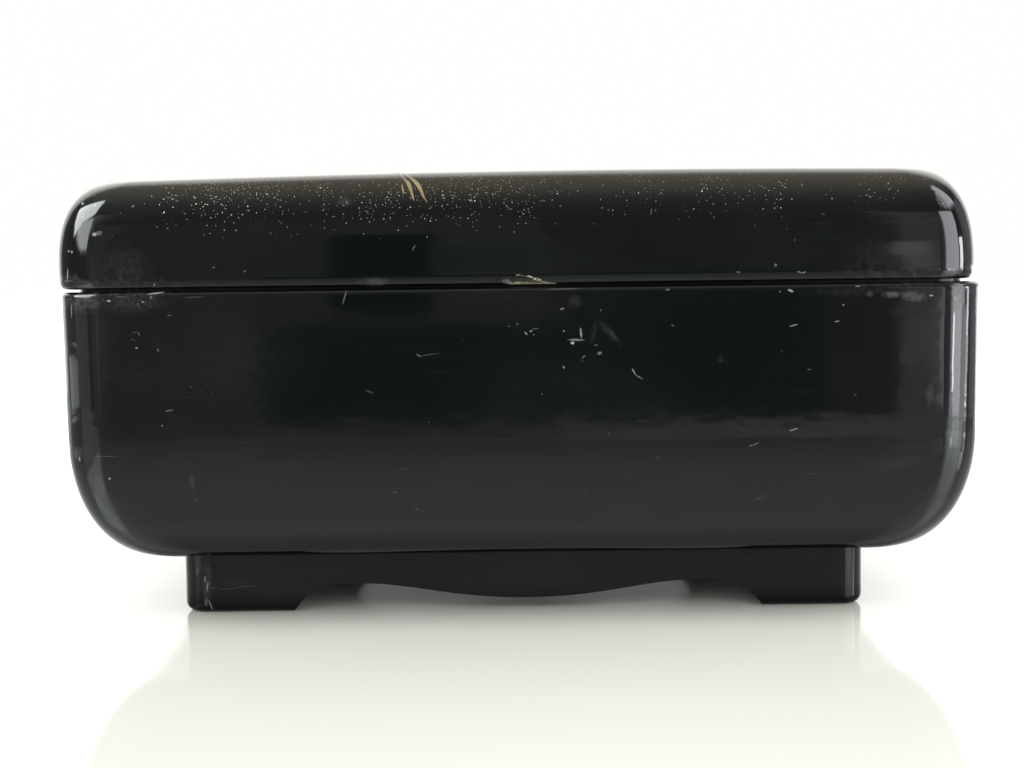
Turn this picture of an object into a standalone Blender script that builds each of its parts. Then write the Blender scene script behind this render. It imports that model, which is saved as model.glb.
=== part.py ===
"""Black lacquered jubako: a square box on an apron foot, with a domed lid that lifts off.

The origin is the middle of the footprint, on the surface that the foot stands on.
+X runs to the right, +Y to the back and +Z up. All sizes are in metres.
"""
import math

import bmesh
import bpy

# Box body
BODY_WIDTH = 0.2400
BODY_DEPTH = 0.2400
BODY_HEIGHT = 0.0723
BODY_CORNER = 0.0110
BODY_TAPER = 0.0004
BODY_WALL = 0.0075
BODY_FLOOR = 0.0070
BELLY_INSET = 0.0210
BELLY_RISE = 0.0340
RIM_EDGE = 0.0015

# Raised lip inside the rim, which locates the lid
LIP_THICKNESS = 0.0030
LIP_HEIGHT = 0.0050
LIP_EDGE = 0.0006

# Lid
LID_MARGIN = 0.0004
LID_HEIGHT = 0.0298
LID_WALL = 0.0075
LID_CEILING = 0.0060
LID_EDGE_DROP = 0.0020
LID_EDGE_INSET = 0.0012
SHOULDER_INSET = 0.0145
SHOULDER_DROP = 0.0250
CROWN_RISE = 0.0016
LID_LEAN = 0.0014

# Foot frame
FOOT_HEIGHT = 0.0172
FOOT_SETBACK = 0.0049
FOOT_BOARD = 0.0090
FOOT_CORNER = 0.0065
FOOT_EDGE = 0.0026
LEG_WIDTH = 0.0295
ARCH_SHOULDER = 0.0150
ARCH_PEAK = 0.0080
ARCH_MIDDLE = 0.0034
ARCH_OFFSET = 0.0020

# Fits
CONTACT_GAP = 0.0003
SEAM_GAP = 0.0010
LIP_PLAY = 0.0013

# Least radius that is left inside a corner
LEAST_CORNER = 0.0020

# How finely curves are divided
CORNER_STEPS = 9
SIDE_STEPS = 8
BELLY_STEPS = 10
SHOULDER_STEPS = 9
EDGE_STEPS = 3
CROWN_RINGS = 4
ARCH_SWELL_STEPS = 12
ARCH_SHOULDER_STEPS = 7

# The belly and the lid's shoulder are a little squarer than an ellipse, whose power is 2
BELLY_POWER = 2.1
SHOULDER_POWER = 2.55
ELLIPSE_POWER = 2

# The arch leaves its low middle slowly and falls steeply to the leg
ARCH_SWELL_POWER = 1.35
ARCH_SHOULDER_POWER = 2.5

BLACK_LACQUER = (0.010, 0.009, 0.009, 1.0)
FOOT_LACQUER = (0.013, 0.012, 0.011, 1.0)
LACQUER_ROUGHNESS = 0.12
FOOT_ROUGHNESS = 0.20

body_half = (BODY_WIDTH / 2, BODY_DEPTH / 2)
rim_z = FOOT_HEIGHT + BODY_HEIGHT
lip_top_z = rim_z + LIP_HEIGHT
lid_half = tuple(half - LID_MARGIN for half in body_half)
lid_edge_z = rim_z + SEAM_GAP
lid_top_z = lid_edge_z + LID_HEIGHT
foot_half = tuple(half - BELLY_INSET - FOOT_SETBACK for half in body_half)


def clear_scene():
    """Removes whatever the file holds."""
    for item in list(bpy.data.objects):
        bpy.data.objects.remove(item, do_unlink=True)


def lacquer(name, colour, roughness):
    """Makes a glossy lacquer material."""
    material = bpy.data.materials.new(name)
    material.use_nodes = True
    shader = material.node_tree.nodes["Principled BSDF"]
    shader.inputs["Base Color"].default_value = colour
    shader.inputs["Roughness"].default_value = roughness
    shader.inputs["Metallic"].default_value = 0.0
    return material


def quarter_curve(inset_from, z_from, inset_to, z_to, steps, starts_level, power=ELLIPSE_POWER):
    """Gives points of a quarter turn of an ellipse or superellipse, without its first point."""
    points = []
    for step in range(1, steps + 1):
        angle = math.pi / 2 * step / steps
        along = math.sin(angle) ** (2 / power)
        turned = 1 - max(0, math.cos(angle)) ** (2 / power)
        inset_share, z_share = (along, turned) if starts_level else (turned, along)
        inset = inset_from + (inset_to - inset_from) * inset_share
        z = z_from + (z_to - z_from) * z_share
        points.append((inset, z))
    return points


def plan_ring(mesh, half, inset, corner, z):
    """Adds one level ring of vertices: a rectangle with rounded corners."""
    half_x = half[0] - inset - corner
    half_y = half[1] - inset - corner
    centres = ((half_x, half_y), (-half_x, half_y), (-half_x, -half_y), (half_x, -half_y))
    outline = []
    for turn, (centre_x, centre_y) in enumerate(centres):
        for step in range(CORNER_STEPS + 1):
            angle = (turn + step / CORNER_STEPS) * math.pi / 2
            outline.append((centre_x + corner * math.cos(angle), centre_y + corner * math.sin(angle)))
        last_x, last_y = outline[-1]
        next_x, next_y = centres[(turn + 1) % 4]
        next_angle = (turn + 1) * math.pi / 2
        next_x += corner * math.cos(next_angle)
        next_y += corner * math.sin(next_angle)
        for step in range(1, SIDE_STEPS):
            share = step / SIDE_STEPS
            outline.append((last_x + (next_x - last_x) * share, last_y + (next_y - last_y) * share))
    return [mesh.verts.new((x, y, z)) for x, y in outline]


def join_rings(mesh, lower, upper):
    """Spans two rings with a band of four-sided faces."""
    count = len(lower)
    for index in range(count):
        after = (index + 1) % count
        mesh.faces.new((lower[index], lower[after], upper[after], upper[index]))


def loft(mesh, half, profile, closed_profile=False):
    """Builds a solid from rings, one for each (inset, z, corner) of its profile."""
    rings = [plan_ring(mesh, half, inset, corner, z) for inset, z, corner in profile]
    for lower, upper in zip(rings, rings[1:]):
        join_rings(mesh, lower, upper)
    if closed_profile:
        join_rings(mesh, rings[-1], rings[0])
    else:
        mesh.faces.new(rings[0])
        mesh.faces.new(rings[-1])
    bmesh.ops.recalc_face_normals(mesh, faces=mesh.faces[:])
    return rings


def solid_object(name, mesh, material):
    """Turns a bmesh into a named, smoothly shaded object."""
    data = bpy.data.meshes.new(name)
    mesh.to_mesh(data)
    mesh.free()
    data.materials.append(material)
    data.shade_smooth()
    data.set_sharp_from_angle(angle=math.radians(40))
    item = bpy.data.objects.new(name, data)
    bpy.context.scene.collection.objects.link(item)
    return item


def inner_corner(inset):
    """Gives the plan radius of a face that runs inside the body's outer wall."""
    return max(BODY_CORNER - inset, LEAST_CORNER)


def make_body(material):
    """Body: rounded belly, straight wall, rounded rim, raised lip and a true hollow inside."""
    lip_inset = BODY_WALL - LIP_THICKNESS
    belly_top_z = FOOT_HEIGHT + BELLY_RISE
    outside = [(BELLY_INSET, FOOT_HEIGHT)]
    outside += quarter_curve(
        BELLY_INSET, FOOT_HEIGHT, BODY_TAPER, belly_top_z, BELLY_STEPS, True, BELLY_POWER
    )
    outside.append((0, rim_z - RIM_EDGE))
    outside += quarter_curve(0, rim_z - RIM_EDGE, RIM_EDGE, rim_z, EDGE_STEPS, False)
    profile = [(inset, z, BODY_CORNER) for inset, z in outside]

    lip = [(lip_inset, rim_z), (lip_inset, lip_top_z - LIP_EDGE), (lip_inset + LIP_EDGE, lip_top_z)]
    lip += [(BODY_WALL - LIP_EDGE, lip_top_z), (BODY_WALL, lip_top_z - LIP_EDGE)]
    profile += [(inset, z, inner_corner(inset)) for inset, z in lip]

    floor_z = FOOT_HEIGHT + BODY_FLOOR
    inside = [(BODY_WALL, belly_top_z)]
    inside += quarter_curve(BODY_WALL, belly_top_z, BELLY_INSET, floor_z, BELLY_STEPS, False)
    profile += [(inset, z, inner_corner(BODY_WALL)) for inset, z in inside]

    mesh = bmesh.new()
    loft(mesh, body_half, profile)
    return solid_object("box_body", mesh, material)


def settle_lid(mesh):
    """Bows the lid's top, lifts its right end a little and slides it to the left on its lip."""
    slide = CONTACT_GAP - LIP_PLAY
    for vertex in mesh.verts:
        above_wall = vertex.co.z - (lid_top_z - SHOULDER_DROP)
        height_share = max(0, above_wall / SHOULDER_DROP)
        across = vertex.co.x / lid_half[0]
        along = vertex.co.y / lid_half[1]
        bow = -CROWN_RISE * (across ** 2 + along ** 2)
        lean = LID_LEAN / 2 * across
        vertex.co.z += (bow + lean) * height_share
        vertex.co.x += slide


def make_lid(material):
    """Lid: rounded lower edge, straight wall, wide shoulder, bowed top and a rebate for the lip."""
    wall_low_z = lid_edge_z + LID_EDGE_DROP
    shoulder_z = lid_top_z - SHOULDER_DROP
    crown_step = (min(lid_half) - SHOULDER_INSET - BODY_CORNER) / (CROWN_RINGS + 1)
    crown = [(SHOULDER_INSET + crown_step * ring, lid_top_z) for ring in range(CROWN_RINGS, 0, -1)]
    shoulder = quarter_curve(
        SHOULDER_INSET, lid_top_z, 0, shoulder_z, SHOULDER_STEPS, True, SHOULDER_POWER
    )
    edge = quarter_curve(0, wall_low_z, LID_EDGE_INSET, lid_edge_z, EDGE_STEPS, False)
    outside = crown + [(SHOULDER_INSET, lid_top_z)] + shoulder + [(0, wall_low_z)] + edge
    profile = [(inset, z, BODY_CORNER) for inset, z in outside]

    lip_inset = BODY_WALL - LIP_THICKNESS
    rebate_inset = lip_inset - LIP_PLAY - LID_MARGIN
    rebate_corner = inner_corner(lip_inset) + LIP_PLAY
    rebate_z = lip_top_z + CONTACT_GAP
    profile += [(rebate_inset, z, rebate_corner) for z in (lid_edge_z, rebate_z)]
    profile.append((LID_WALL, rebate_z, inner_corner(LID_WALL)))

    ceiling_z = lid_top_z - LID_CEILING
    cove_z = max(shoulder_z, rebate_z + LIP_EDGE)
    cove = [(LID_WALL, cove_z)]
    cove += quarter_curve(LID_WALL, cove_z, SHOULDER_INSET, ceiling_z, SHOULDER_STEPS, False)
    cove += [(inset, ceiling_z) for inset, z in reversed(crown)]
    profile += [(inset, z, inner_corner(LID_WALL)) for inset, z in cove]

    mesh = bmesh.new()
    loft(mesh, lid_half, profile)
    settle_lid(mesh)
    return solid_object("lid", mesh, material)


def arch_outline(half_span):
    """Gives the arch's edge from its middle to the leg, as (distance, height) points."""
    peak_at = half_span - ARCH_SHOULDER
    points = []
    for step in range(ARCH_SWELL_STEPS + 1):
        share = step / ARCH_SWELL_STEPS
        swell = (1 - math.cos(math.pi * share ** ARCH_SWELL_POWER)) / 2
        points.append((peak_at * share, ARCH_MIDDLE + (ARCH_PEAK - ARCH_MIDDLE) * swell))
    for step in range(1, ARCH_SHOULDER_STEPS + 1):
        share = step / ARCH_SHOULDER_STEPS
        fall = share ** ARCH_SHOULDER_POWER
        points.append((peak_at + ARCH_SHOULDER * share, ARCH_PEAK * (1 - fall)))
    return points


def arch_cutter(name, half_span, reach, offset, turned):
    """Makes the bar that cuts one pair of facing arches out of the foot frame."""
    right = arch_outline(half_span)
    left = [(-distance, height) for distance, height in reversed(right[1:])]
    edge = [(-half_span, -FOOT_EDGE)] + left + right + [(half_span, -FOOT_EDGE)]
    mesh = bmesh.new()
    verts = [mesh.verts.new((distance + offset, -reach, height)) for distance, height in edge]
    face = mesh.faces.new(verts)
    made = bmesh.ops.extrude_face_region(mesh, geom=[face])
    moved = [item for item in made["geom"] if isinstance(item, bmesh.types.BMVert)]
    bmesh.ops.translate(mesh, verts=moved, vec=(0, 2 * reach, 0))
    bmesh.ops.recalc_face_normals(mesh, faces=mesh.faces[:])
    data = bpy.data.meshes.new(name)
    mesh.to_mesh(data)
    mesh.free()
    cutter = bpy.data.objects.new(name, data)
    cutter.rotation_euler = (0, 0, math.pi / 2 if turned else 0)
    cutter.hide_render = True
    cutter.display_type = "WIRE"
    bpy.context.scene.collection.objects.link(cutter)
    return cutter


def make_foot(material):
    """Foot frame: an open square of boards, each with a scalloped apron between two legs."""
    top_z = FOOT_HEIGHT - CONTACT_GAP
    outside = [(FOOT_EDGE, 0)]
    outside += quarter_curve(FOOT_EDGE, 0, 0, FOOT_EDGE, EDGE_STEPS, True)
    outside.append((0, top_z))
    profile = [(inset, z, FOOT_CORNER) for inset, z in outside]
    inner_radius = max(FOOT_CORNER - FOOT_BOARD, LEAST_CORNER)
    profile += [(FOOT_BOARD, top_z, inner_radius), (FOOT_BOARD, 0, inner_radius)]
    mesh = bmesh.new()
    loft(mesh, foot_half, profile, closed_profile=True)
    foot = solid_object("foot_frame", mesh, material)

    front_span = foot_half[0] - LEG_WIDTH
    side_span = foot_half[1] - LEG_WIDTH
    cutters = (
        arch_cutter("front_arch_cutter", front_span, foot_half[1] + FOOT_BOARD, ARCH_OFFSET, False),
        arch_cutter("side_arch_cutter", side_span, foot_half[0] + FOOT_BOARD, 0, True),
    )
    for cutter in cutters:
        cut = foot.modifiers.new(cutter.name, "BOOLEAN")
        cut.operation = "DIFFERENCE"
        cut.object = cutter
    return foot


def main():
    """Builds the three pieces where they stand."""
    clear_scene()
    make_body(lacquer("body_lacquer", BLACK_LACQUER, LACQUER_ROUGHNESS))
    make_lid(lacquer("lid_lacquer", BLACK_LACQUER, LACQUER_ROUGHNESS))
    make_foot(lacquer("foot_lacquer", FOOT_LACQUER, FOOT_ROUGHNESS))


main()
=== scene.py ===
"""The looks of a black lacquered jubako: fine meshes, worn lacquer, gold flakes, light and camera.

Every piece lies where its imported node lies. Sizes and places are in metres, +Z up, front towards -Y.
"""
import math

import bmesh
import bpy
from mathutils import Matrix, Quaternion, Vector


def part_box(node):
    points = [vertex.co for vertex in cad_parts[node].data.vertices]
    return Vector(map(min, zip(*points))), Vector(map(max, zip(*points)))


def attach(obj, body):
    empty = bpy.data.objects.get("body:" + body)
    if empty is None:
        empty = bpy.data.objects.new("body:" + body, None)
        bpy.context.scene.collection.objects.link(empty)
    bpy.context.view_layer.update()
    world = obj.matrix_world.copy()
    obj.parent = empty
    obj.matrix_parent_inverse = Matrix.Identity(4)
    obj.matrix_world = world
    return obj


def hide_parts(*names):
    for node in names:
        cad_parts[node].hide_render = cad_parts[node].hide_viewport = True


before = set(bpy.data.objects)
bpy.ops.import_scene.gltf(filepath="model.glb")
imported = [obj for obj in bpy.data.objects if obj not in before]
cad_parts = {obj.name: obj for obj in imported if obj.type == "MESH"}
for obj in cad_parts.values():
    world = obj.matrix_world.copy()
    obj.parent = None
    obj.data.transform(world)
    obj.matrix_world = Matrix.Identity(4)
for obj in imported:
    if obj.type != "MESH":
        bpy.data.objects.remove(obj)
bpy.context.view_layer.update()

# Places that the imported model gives
body_low, body_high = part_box("box_body")
lid_low, lid_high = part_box("lid")
foot_low, foot_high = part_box("foot_frame")

# Box body
BODY_CORNER = 0.0110
BODY_TAPER = 0.0004
BODY_WALL = 0.0075
BODY_FLOOR = 0.0070
BELLY_INSET = 0.0210
BELLY_RISE = 0.0340
RIM_EDGE = 0.0015
LIP_THICKNESS = 0.0030
LIP_HEIGHT = 0.0050
LIP_EDGE = 0.0006

# Lid
LID_HEIGHT = 0.0304
LID_WALL = 0.0075
LID_CEILING = 0.0060
LID_EDGE_DROP = 0.0028
LID_EDGE_INSET = 0.0012
SEAM_DROP = 0.0003
REBATE_INSET = 0.0028
REBATE_RISE = 0.0043
SHOULDER_INSET = 0.0145
SHOULDER_DROP = 0.0256
SHOULDER_SLACK = 0.0008
CROWN_ACROSS = 0.0014
CROWN_ALONG = 0.0016
LID_LEAN = 0.0011
CAGE_CELL = 0.06
CAGE_POINTS = 7
CROWN_RING = 0.0085

# Foot frame
FOOT_BOARD = 0.0090
FOOT_CORNER = 0.0065
FOOT_INNER_CORNER = 0.0020
FOOT_EDGE = 0.0026
LEG_WIDTH = 0.0293
ARCH_SHOULDER = 0.0150
ARCH_PEAK = 0.0080
ARCH_MIDDLE = 0.0034
ARCH_OFFSET = 0.0012
ARCH_LEG_CURVE = (0.0030, 0.0041)
ARCH_PEAK_INWARD = 0.0185
ARCH_PEAK_OUTWARD = 0.0088
ARCH_MIDDLE_REACH = 0.0225
ARCH_BELOW = -0.004
ARCH_EDGE = 0.0004
CUT_MARGIN = 0.01

# How round the belly and the shoulder are: an ellipse has the power 2, and more is squarer
BELLY_POWER = 2.1
SHOULDER_POWER = 2.55
ELLIPSE_POWER = 2

MM = 0.001
MARK_DEPTH = 0.05
NEAR = 0.0002
SMOOTH_ANGLE = 40

# How finely curves and flats are divided
CORNER_STEPS = 20
BELLY_STEPS = 32
SHOULDER_STEPS = 32
EDGE_STEPS = 6
FLAT_STEP = 0.015
FLAT_END = 0.1082
FOOT_FLAT_END = 0.0868
FOOT_CORNER_STEPS = 14
ARCH_STEPS = 20

body_half = body_high.x
rim_z = body_high.z - LIP_HEIGHT
belly_top_z = body_low.z + BELLY_RISE
lid_half = (lid_high.x - lid_low.x) / 2
lid_slide = (lid_high.x + lid_low.x) / 2
lid_edge_z = lid_low.z - SEAM_DROP
seat_z = lid_low.z + REBATE_RISE
lid_top_z = lid_low.z + LID_HEIGHT
shoulder_z = lid_top_z - SHOULDER_DROP
foot_half = foot_high.x


# Selecting and shaping

def start_fresh():
    """Deselects all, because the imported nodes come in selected."""
    if bpy.context.object and bpy.context.object.mode == "EDIT":
        bpy.ops.object.mode_set(mode="OBJECT")
    bpy.ops.object.select_all(action="DESELECT")


def add_block(name, half, low_z, high_z):
    """Adds an upright square block, centred on the origin in plan, and opens it in edit mode."""
    start_fresh()
    bpy.ops.mesh.primitive_cube_add(
        size=1, location=(0, 0, (low_z + high_z) / 2), scale=(2 * half, 2 * half, high_z - low_z)
    )
    block = bpy.context.object
    block.name = name
    block.data.name = name
    bpy.ops.object.transform_apply()
    bpy.ops.object.mode_set(mode="EDIT")
    return block


def pick(piece, kind, test):
    """Selects the verts, edges or faces that pass a test, and nothing else."""
    bpy.ops.mesh.select_mode(type={"verts": "VERT", "edges": "EDGE", "faces": "FACE"}[kind])
    bpy.ops.mesh.select_all(action="DESELECT")
    mesh = bmesh.from_edit_mesh(piece.data)
    for part in getattr(mesh, kind):
        if test(part):
            part.select_set(True)
    mesh.select_flush_mode()
    bmesh.update_edit_mesh(piece.data)


def is_upright(edge):
    """Tells an upright edge from a level one."""
    run = edge.verts[0].co - edge.verts[1].co
    return abs(run.z) > 0.9 * run.length


def faces_down(face):
    """Tells whether a face looks straight down."""
    return face.normal.z < -0.99


def faces_up(face):
    """Tells whether a face looks straight up."""
    return face.normal.z > 0.99


def round_corners(piece, radius, steps=CORNER_STEPS):
    """Rounds the block's four upright edges."""
    pick(piece, "edges", is_upright)
    bpy.ops.mesh.bevel(offset=radius, segments=steps, profile=0.5, affect="EDGES")


def quarter_curve(inset_from, z_from, inset_to, z_to, steps, starts_level, power=ELLIPSE_POWER):
    """Gives the (inset, height) points of a quarter turn, without its first point."""
    points = []
    for step in range(1, steps + 1):
        angle = math.pi / 2 * step / steps
        along = math.sin(angle) ** (2 / power)
        turned = 1 - max(0, math.cos(angle)) ** (2 / power)
        inset_share, z_share = (along, turned) if starts_level else (turned, along)
        inset = inset_from + (inset_to - inset_from) * inset_share
        points.append((inset, z_from + (z_to - z_from) * z_share))
    return points


def follow(half, start, points):
    """Extrudes the selected cap from one (inset, height) point to the next, ring by ring."""
    inset, height = start
    for next_inset, next_height in points:
        bpy.ops.mesh.extrude_region_move(TRANSFORM_OT_translate={"value": (0, 0, next_height - height)})
        share = (half - next_inset) / (half - inset)
        bpy.ops.transform.resize(value=(share, share, 1), center_override=(0, 0, next_height))
        inset, height = next_inset, next_height


def raise_cap(distance):
    """Extrudes the selected cap straight up, or down where the distance is negative."""
    bpy.ops.mesh.extrude_region_move(TRANSFORM_OT_translate={"value": (0, 0, distance)})


def divide_flats(end, step=FLAT_STEP):
    """Cuts the mesh across in both directions, so that its flats shade flat and its top can bow."""
    places = [end, -end]
    count = int(end / step)
    places += [index * step for index in range(-count, count + 1)]
    for place in places:
        for across in (Vector((1, 0, 0)), Vector((0, 1, 0))):
            bpy.ops.mesh.select_all(action="SELECT")
            bpy.ops.mesh.bisect(plane_co=across * place, plane_no=across)


def apply_modifier(piece, kind, **settings):
    """Adds a modifier with these settings and applies it."""
    start_fresh()
    piece.select_set(True)
    bpy.context.view_layer.objects.active = piece
    bpy.ops.object.modifier_add(type=kind)
    modifier = piece.modifiers[-1]
    for name, value in settings.items():
        setattr(modifier, name, value)
    bpy.ops.object.modifier_apply(modifier=modifier.name)


def cut_away(piece, cutter):
    """Cuts one block out of another. The cut faces take the cutter's material."""
    apply_modifier(
        piece, "BOOLEAN", operation="DIFFERENCE", solver="EXACT", object=cutter, material_mode="TRANSFER"
    )
    bpy.data.objects.remove(cutter, do_unlink=True)


def shade(piece, angle=SMOOTH_ANGLE):
    """Shades smoothly, apart from edges sharper than the angle, with flats kept flat."""
    start_fresh()
    piece.select_set(True)
    bpy.context.view_layer.objects.active = piece
    bpy.ops.object.shade_smooth_by_angle(angle=math.radians(angle))
    apply_modifier(piece, "WEIGHTED_NORMAL", keep_sharp=True, weight=50)


# Nodes

def node(tree, kind, inputs=None, **settings):
    """Adds a shader node. Inputs take a value or another node's socket."""
    made = tree.nodes.new("ShaderNode" + kind)
    for name, value in settings.items():
        setattr(made, name, value)
    for socket, value in (inputs or {}).items():
        if isinstance(value, bpy.types.NodeSocket):
            tree.links.new(value, made.inputs[socket])
        else:
            made.inputs[socket].default_value = value
    return made


def maths(tree, operation, first, second=0.0):
    """Adds a Math node and gives its result."""
    return node(tree, "Math", {0: first, 1: second}, operation=operation).outputs[0]


def times(tree, first, second):
    """Multiplies two values."""
    return maths(tree, "MULTIPLY", first, second)


def plus(tree, first, second):
    """Adds two values."""
    return maths(tree, "ADD", first, second)


def mix_colour(tree, share, first, second):
    """Mixes two colours by a share and gives the result."""
    return node(tree, "Mix", {0: share, 6: first, 7: second}, data_type="RGBA").outputs[2]


def mix_value(tree, share, first, second):
    """Mixes two numbers by a share and gives the result."""
    return node(tree, "Mix", {0: share, 2: first, 3: second}, data_type="FLOAT").outputs[0]


def noise(tree, point, scale, detail=3.0, roughness=0.5):
    """Gives smooth noise between 0 and 1."""
    inputs = {"Vector": point, "Scale": scale, "Detail": detail, "Roughness": roughness}
    return node(tree, "TexNoise", inputs).outputs[0]


def stretched(tree, point, scale):
    """Stretches a pattern: a small scale makes it long in that direction."""
    return node(tree, "Mapping", {"Vector": point, "Scale": scale}).outputs[0]


def ramp_up(tree, value, low, high):
    """Gives 0 below the low value, 1 above the high one and a smooth rise between."""
    inputs = {0: value, 1: low, 2: high, 3: 0.0, 4: 1.0}
    return node(tree, "MapRange", inputs, interpolation_type="SMOOTHSTEP").outputs[0]


def new_material(name):
    """Starts a material and gives it with its tree, its shader and its Object coordinates."""
    material = bpy.data.materials.new(name)
    material.use_nodes = True
    tree = material.node_tree
    shader = tree.nodes["Principled BSDF"]
    point = node(tree, "TexCoord").outputs["Object"]
    return material, tree, shader, point


def feed(tree, shader, colour, gloss, bump=None):
    """Feeds a shader its colour, its roughness and its fine relief."""
    tree.links.new(colour, shader.inputs["Base Color"])
    tree.links.new(gloss, shader.inputs["Roughness"])
    if bump:
        tree.links.new(bump.outputs[0], shader.inputs["Normal"])


def stroke(tree, point, front_y, placed):
    """Gives 1 in the middle of one stroke on the front face, falling to 0 at its edge."""
    across, height, half_length, half_width = (MM * size for size in placed[:4])
    turn = placed[4]
    inputs = {
        "Vector": point,
        "Location": (across, front_y, height),
        "Rotation": (0, -math.radians(turn), 0),
        "Scale": (half_length * 1.3, MARK_DEPTH, half_width * 1.6),
    }
    inside = node(tree, "Mapping", inputs, vector_type="TEXTURE").outputs[0]
    return node(tree, "TexGradient", {"Vector": inside}, gradient_type="SPHERICAL").outputs["Fac"]


def strokes(tree, point, front_y, listed, low, high):
    """Gives how plainly the listed strokes show at each place, rising from their edges inwards."""
    shown = None
    for plainness in sorted({row[-1] for row in listed}):
        share = None
        for row in listed:
            if row[-1] == plainness:
                blob = stroke(tree, point, front_y, row[:-1])
                share = blob if share is None else maths(tree, "MAXIMUM", share, blob)
        share = times(tree, ramp_up(tree, share, low, high), plainness)
        shown = share if shown is None else maths(tree, "MAXIMUM", shown, share)
    return shown


# Scratches on the body's front, with one painted reflection among them: across, height, half length and half
# width in mm, turn and plainness
BODY_MARKS = (
    (-45.1, 87.4, 1.9, 0.16, -107, 0.25),
    (-99, 79.2, 0.8, 0.12, 18, 0.13),
    (-98, 78.8, 0.7, 0.12, -70, 0.25),
    (-99.3, 77.2, 0.9, 0.12, -27, 0.13),
    (-98.7, 75.2, 0.3, 0.2, -12, 0.7),
    (-93.2, 74.5, 0.5, 0.15, -78, 0.25),
    (-90, 83.4, 0.6, 0.12, -1, 0.25),
    (-90.8, 58.9, 1.1, 0.16, 10, 0.25),
    (-92.8, 55, 0.2, 0.2, 0, 0.45),
    (-23.7, 72.5, 2.9, 0.11, 7, 0.13),
    (-26.4, 72.3, 0.8, 0.2, -32, 0.25),
    (-39.2, 63.1, 1.2, 0.16, -19, 0.13),
    (-24.1, 55.1, 0.2, 0.2, 0, 0.13),
    (-108, 47.2, 3.5, 0.1, -1, 0.13),
    # Painted reflection, not a scratch: a bright spot at the edge of the left corner's highlight
    (-107, 41.3, 0.3, 0.25, 0, 0.7),
    (-85.2, 35.3, 0.3, 0.2, 0, 0.13),
    (-31, 42.8, 1.6, 0.1, -1, 0.07),
    (-33.3, 36.6, 0.8, 0.13, -1, 0.13),
    (-27.9, 31.9, 0.5, 0.15, -1, 0.13),
    (-26.1, 27.8, 0.2, 0.2, 0, 0.07),
    (10.9, 78.1, 0.2, 0.18, 0, 0.7),
    (1.2, 77.6, 0.6, 0.13, -45, 0.7),
    (2.5, 78.2, 0.4, 0.18, 20, 0.7),
    (3.5, 78.8, 0.9, 0.1, 5, 0.25),
    (3.2, 77.3, 0.2, 0.15, 0, 0.25),
    (-1, 80, 0.2, 0.18, 0, 0.45),
    (-3.1, 79.5, 0.2, 0.15, 0, 0.25),
    (15.3, 77.6, 1.3, 0.22, -84, 0.7),
    (14, 75.8, 2.1, 0.22, -1, 0.45),
    (13.1, 75, 0.5, 0.3, 6, 1),
    (15.9, 71.4, 0.6, 0.13, 36, 0.45),
    (15.6, 70.4, 0.3, 0.1, -50, 0.25),
    (10.8, 68.8, 0.4, 0.2, -65, 0.45),
    (19.1, 74.4, 0.5, 0.15, -1, 0.25),
    (20, 72.3, 0.6, 0.32, 9, 0.45),
    (28.8, 67.4, 1, 0.13, -62, 0.7),
    (30.2, 66, 1.1, 0.12, -30, 0.45),
    (38.8, 79.2, 0.4, 0.15, -20, 0.25),
    (5.1, 62, 0.2, 0.15, 0, 0.25),
    (10.5, 83.8, 0.6, 0.2, 20, 0.45),
    (20.4, 83.3, 0.2, 0.2, 0, 0.25),
    (37.6, 88.4, 0.6, 0.25, 10, 0.25),
    (10.8, 88.9, 4.5, 0.15, 1, 0.13),
    (69.8, 78.8, 1.2, 0.16, 15, 0.45),
    (69.9, 51.9, 1.2, 0.17, 18, 0.45),
    (59, 47.9, 0.6, 0.15, 26, 0.25),
    (60.2, 48.3, 0.8, 0.15, 31, 0.25),
    (61.2, 33.7, 0.8, 0.15, 15, 0.13),
    (62.8, 34.3, 0.9, 0.12, 36, 0.07),
    (34.8, 45.1, 0.9, 0.1, -5, 0.13),
    (80.9, 79.7, 0.7, 0.14, 11, 0.45),
    (82.5, 83.9, 0.3, 0.18, 0, 0.45),
    (66.8, 72.2, 0.2, 0.2, -45, 0.13),
    (73.9, 67.4, 0.5, 0.14, -8, 0.25),
    (85.8, 60.7, 0.3, 0.15, -27, 0.13),
    (69, 87.7, 0.8, 0.25, -22, 0.7),
    (66.3, 87.5, 0.2, 0.2, 0, 0.45),
    (86.2, 88.6, 0.7, 0.12, 2, 0.45),
    (75.4, 40.2, 2, 0.09, -1, 0.07),
    (30.8, 54.6, 1.3, 0.09, -4, 0.07),
    (-93.4, 89.1, 2.2, 0.16, 6, 0.7),
    (-94.6, 88.1, 0.5, 0.15, 60, 0.45),
    (-96.7, 86.9, 0.3, 0.2, 0, 0.7),
    (-98, 86.4, 0.2, 0.15, 0, 0.25),
    (-95, 85.6, 0.2, 0.15, 0, 0.25),
    (-105.4, 87.3, 0.5, 0.25, 0, 0.7),
    (-102.2, 88.3, 1.4, 0.1, 0, 0.25),
    (-83.5, 88, 2.8, 0.1, 1, 0.13),
    (-115.6, 84.7, 1.9, 0.14, 88, 0.45),
    (-115, 46.3, 0.6, 0.2, 85, 0.7),
    (-85, 65, 0.2, 0.18, 0, 0.13),
    (-82.3, 63.9, 0.2, 0.18, 0, 0.13),
    (-79.5, 63.2, 0.2, 0.18, 0, 0.13),
    (105, 86, 0.5, 0.18, 0, 0.7),
)

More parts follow.
